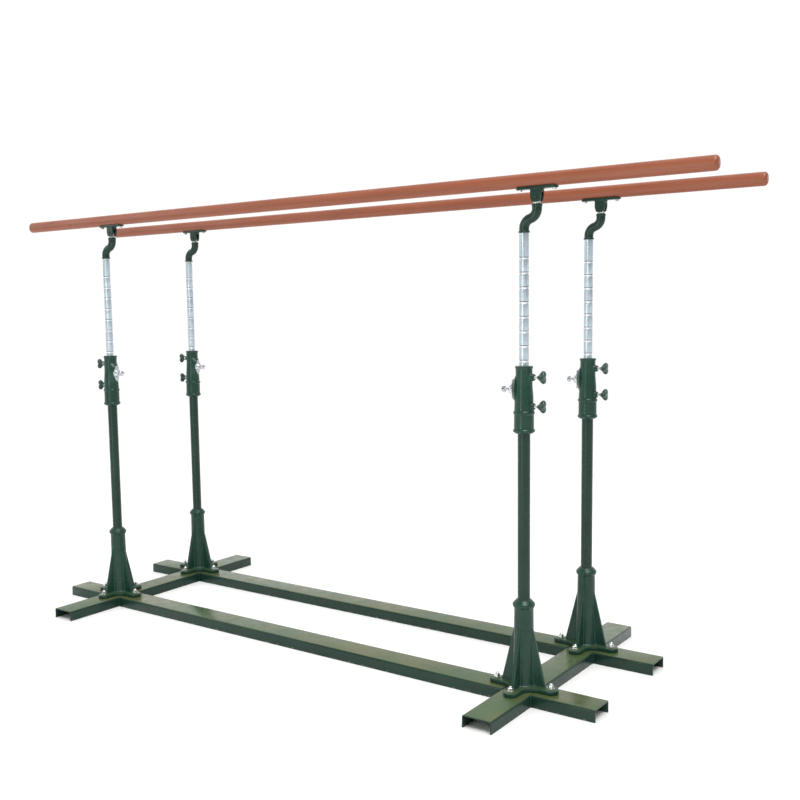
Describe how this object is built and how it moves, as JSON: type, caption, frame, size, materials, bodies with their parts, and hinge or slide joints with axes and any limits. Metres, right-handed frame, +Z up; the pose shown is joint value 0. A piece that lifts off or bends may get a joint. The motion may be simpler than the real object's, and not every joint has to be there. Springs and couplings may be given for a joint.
{
  "type": "parallel bars",
  "caption": "Portable gymnastics parallel bars: oval rails on latched telescopic posts with swinging necks, over a welded channel base.",
  "frame": {"origin": "on the floor under the middle of the rails", "axes": "+X along the rails, away from the end the necks lean from; +Y from the front rail to the rear rail; +Z up"},
  "size_m": [3.5, 1.233, 1.9],
  "materials": {
    "green_paint": "dark bottle green gloss paint on steel and castings",
    "green_knob": "dark green enamelled knob on a bright stud",
    "chrome": "bright plated steel, lightly scuffed",
    "zinc": "zinc-plated fasteners",
    "rail_coating": "laminated rail under a satin red-brown coating"
  },
  "bodies": {
    "stand": {"base_frame": "green_paint", "pedestal_front_left": "green_paint", "upright_front_left": "green_paint", "sleeve_front_left": "green_paint", "latch_housing_front_left": "chrome", "pedestal_front_right": "green_paint", "upright_front_right": "green_paint", "sleeve_front_right": "green_paint", "latch_housing_front_right": "chrome", "pedestal_rear_left": "green_paint", "upright_rear_left": "green_paint", "sleeve_rear_left": "green_paint", "latch_housing_rear_left": "chrome", "pedestal_rear_right": "green_paint", "upright_rear_right": "green_paint", "sleeve_rear_right": "green_paint", "latch_housing_rear_right": "chrome"},
    "clamp_screw_lower_front_left": {"clamp_screw_lower_front_left": "green_knob"},
    "clamp_screw_upper_front_left": {"clamp_screw_upper_front_left": "green_knob"},
    "latch_front_left": {"latch_plunger_front_left": "chrome"},
    "clamp_screw_lower_front_right": {"clamp_screw_lower_front_right": "green_knob"},
    "clamp_screw_upper_front_right": {"clamp_screw_upper_front_right": "green_knob"},
    "latch_front_right": {"latch_plunger_front_right": "chrome"},
    "clamp_screw_lower_rear_left": {"clamp_screw_lower_rear_left": "green_knob"},
    "clamp_screw_upper_rear_left": {"clamp_screw_upper_rear_left": "green_knob"},
    "latch_rear_left": {"latch_plunger_rear_left": "chrome"},
    "clamp_screw_lower_rear_right": {"clamp_screw_lower_rear_right": "green_knob"},
    "clamp_screw_upper_rear_right": {"clamp_screw_upper_rear_right": "green_knob"},
    "latch_rear_right": {"latch_plunger_rear_right": "chrome"},
    "column_front_left": {"column_front_left": "chrome"},
    "column_front_right": {"column_front_right": "chrome"},
    "neck_front_left": {"neck_front_left": "green_paint"},
    "neck_front_right": {"neck_front_right": "green_paint"},
    "swivel_front_left": {"swivel_front_left": "zinc"},
    "swivel_front_right": {"swivel_front_right": "zinc"},
    "rail_front": {"rail_front": "rail_coating", "saddle_front_left": "green_paint", "saddle_front_right": "green_paint", "tilt_pin_front_left": "green_paint", "tilt_pin_front_right": "green_paint", "rail_bolt_front_left_1": "zinc", "rail_bolt_front_left_2": "zinc", "rail_bolt_front_right_1": "zinc", "rail_bolt_front_right_2": "zinc"},
    "column_rear_left": {"column_rear_left": "chrome"},
    "column_rear_right": {"column_rear_right": "chrome"},
    "neck_rear_left": {"neck_rear_left": "green_paint"},
    "neck_rear_right": {"neck_rear_right": "green_paint"},
    "swivel_rear_left": {"swivel_rear_left": "zinc"},
    "swivel_rear_right": {"swivel_rear_right": "zinc"},
    "rail_rear": {"rail_rear": "rail_coating", "saddle_rear_left": "green_paint", "saddle_rear_right": "green_paint", "tilt_pin_rear_left": "green_paint", "tilt_pin_rear_right": "green_paint", "rail_bolt_rear_left_1": "zinc", "rail_bolt_rear_left_2": "zinc", "rail_bolt_rear_right_1": "zinc", "rail_bolt_rear_right_2": "zinc"}
  },
  "joints": [
    {"name": "clamp_lower_front_left", "type": "hinge", "parent": "stand", "child": "clamp_screw_lower_front_left", "pos_m": [-1.225, -0.2715, 1.085], "axis": [-1, 0, 0], "range_deg": [0, 540]},
    {"name": "clamp_upper_front_left", "type": "hinge", "parent": "stand", "child": "clamp_screw_upper_front_left", "pos_m": [-1.225, -0.2715, 1.189], "axis": [-1, 0, 0], "range_deg": [0, 540]},
    {"name": "latch_pull_front_left", "type": "slide", "parent": "stand", "child": "latch_front_left", "axis": [1, 0, 0], "range_m": [0, 0.012], "stiffness_N_per_m": 800, "springref_m": -0.004},
    {"name": "clamp_lower_front_right", "type": "hinge", "parent": "stand", "child": "clamp_screw_lower_front_right", "pos_m": [1.125, -0.2715, 1.085], "axis": [1, 0, 0], "range_deg": [0, 540]},
    {"name": "clamp_upper_front_right", "type": "hinge", "parent": "stand", "child": "clamp_screw_upper_front_right", "pos_m": [1.125, -0.2715, 1.189], "axis": [1, 0, 0], "range_deg": [0, 540]},
    {"name": "latch_pull_front_right", "type": "slide", "parent": "stand", "child": "latch_front_right", "axis": [-1, 0, 0], "range_m": [0, 0.012], "stiffness_N_per_m": 800, "springref_m": -0.004},
    {"name": "clamp_lower_rear_left", "type": "hinge", "parent": "stand", "child": "clamp_screw_lower_rear_left", "pos_m": [-1.225, 0.2715, 1.085], "axis": [-1, 0, 0], "range_deg": [0, 540]},
    {"name": "clamp_upper_rear_left", "type": "hinge", "parent": "stand", "child": "clamp_screw_upper_rear_left", "pos_m": [-1.225, 0.2715, 1.189], "axis": [-1, 0, 0], "range_deg": [0, 540]},
    {"name": "latch_pull_rear_left", "type": "slide", "parent": "stand", "child": "latch_rear_left", "axis": [1, 0, 0], "range_m": [0, 0.012], "stiffness_N_per_m": 800, "springref_m": -0.004},
    {"name": "clamp_lower_rear_right", "type": "hinge", "parent": "stand", "child": "clamp_screw_lower_rear_right", "pos_m": [1.125, 0.2715, 1.085], "axis": [1, 0, 0], "range_deg": [0, 540]},
    {"name": "clamp_upper_rear_right", "type": "hinge", "parent": "stand", "child": "clamp_screw_upper_rear_right", "pos_m": [1.125, 0.2715, 1.189], "axis": [1, 0, 0], "range_deg": [0, 540]},
    {"name": "latch_pull_rear_right", "type": "slide", "parent": "stand", "child": "latch_rear_right", "axis": [-1, 0, 0], "range_m": [0, 0.012], "stiffness_N_per_m": 800, "springref_m": -0.004},
    {"name": "lift_front", "type": "slide", "parent": "stand", "child": "column_front_left", "axis": [0, 0, 1], "range_m": [-0.4, 0.05]},
    {"name": "swing_front_left", "type": "hinge", "parent": "column_front_left", "child": "neck_front_left", "pos_m": [-1.175, -0.2715, 1.7], "axis": [0, 0, 1], "range_deg": [-90, 90]},
    {"name": "turn_front_left", "type": "hinge", "parent": "neck_front_left", "child": "swivel_front_left", "pos_m": [-1.125, -0.2715, 1.7937], "axis": [0, 0, 1], "range_deg": [-90, 90]},
    {"name": "tilt_front", "type": "hinge", "parent": "swivel_front_left", "child": "rail_front", "pos_m": [-1.125, -0.2715, 1.8175], "axis": [0, 1, 0], "range_deg": [-1.27, 1.27]},
    {"name": "level_front", "type": "slide", "parent": "column_front_left", "child": "column_front_right", "axis": [0, 0, 1], "range_m": [-0.05, 0.05]},
    {"name": "swing_front_right", "type": "hinge", "parent": "column_front_right", "child": "neck_front_right", "pos_m": [1.075, -0.2715, 1.7], "axis": [0, 0, 1], "range_deg": [-90, 90]},
    {"name": "turn_front_right", "type": "hinge", "parent": "neck_front_right", "child": "swivel_front_right", "pos_m": [1.125, -0.2715, 1.7937], "axis": [0, 0, 1], "range_deg": [-90, 90]},
    {"name": "lift_rear", "type": "slide", "parent": "stand", "child": "column_rear_left", "axis": [0, 0, 1], "range_m": [-0.4, 0.05]},
    {"name": "swing_rear_left", "type": "hinge", "parent": "column_rear_left", "child": "neck_rear_left", "pos_m": [-1.175, 0.2715, 1.7], "axis": [0, 0, 1], "range_deg": [-90, 90]},
    {"name": "turn_rear_left", "type": "hinge", "parent": "neck_rear_left", "child": "swivel_rear_left", "pos_m": [-1.125, 0.2715, 1.7937], "axis": [0, 0, 1], "range_deg": [-90, 90]},
    {"name": "tilt_rear", "type": "hinge", "parent": "swivel_rear_left", "child": "rail_rear", "pos_m": [-1.125, 0.2715, 1.8175], "axis": [0, 1, 0], "range_deg": [-1.27, 1.27]},
    {"name": "level_rear", "type": "slide", "parent": "column_rear_left", "child": "column_rear_right", "axis": [0, 0, 1], "range_m": [-0.05, 0.05]},
    {"name": "swing_rear_right", "type": "hinge", "parent": "column_rear_right", "child": "neck_rear_right", "pos_m": [1.075, 0.2715, 1.7], "axis": [0, 0, 1], "range_deg": [-90, 90]},
    {"name": "turn_rear_right", "type": "hinge", "parent": "neck_rear_right", "child": "swivel_rear_right", "pos_m": [1.125, 0.2715, 1.7937], "axis": [0, 0, 1], "range_deg": [-90, 90]}
  ],
  "couplings": [
    {"joint": "turn_front_left", "follows": "swing_front_left", "ratio": -1},
    {"joint": "swing_front_right", "follows": "swing_front_left", "ratio": 1},
    {"joint": "turn_front_right", "follows": "swing_front_left", "ratio": -1},
    {"joint": "level_front", "follows": "tilt_front", "m_per_rad": -2.25},
    {"joint": "turn_rear_left", "follows": "swing_rear_left", "ratio": -1},
    {"joint": "swing_rear_right", "follows": "swing_rear_left", "ratio": 1},
    {"joint": "turn_rear_right", "follows": "swing_rear_left", "ratio": -1},
    {"joint": "level_rear", "follows": "tilt_rear", "m_per_rad": -2.25}
  ]
}
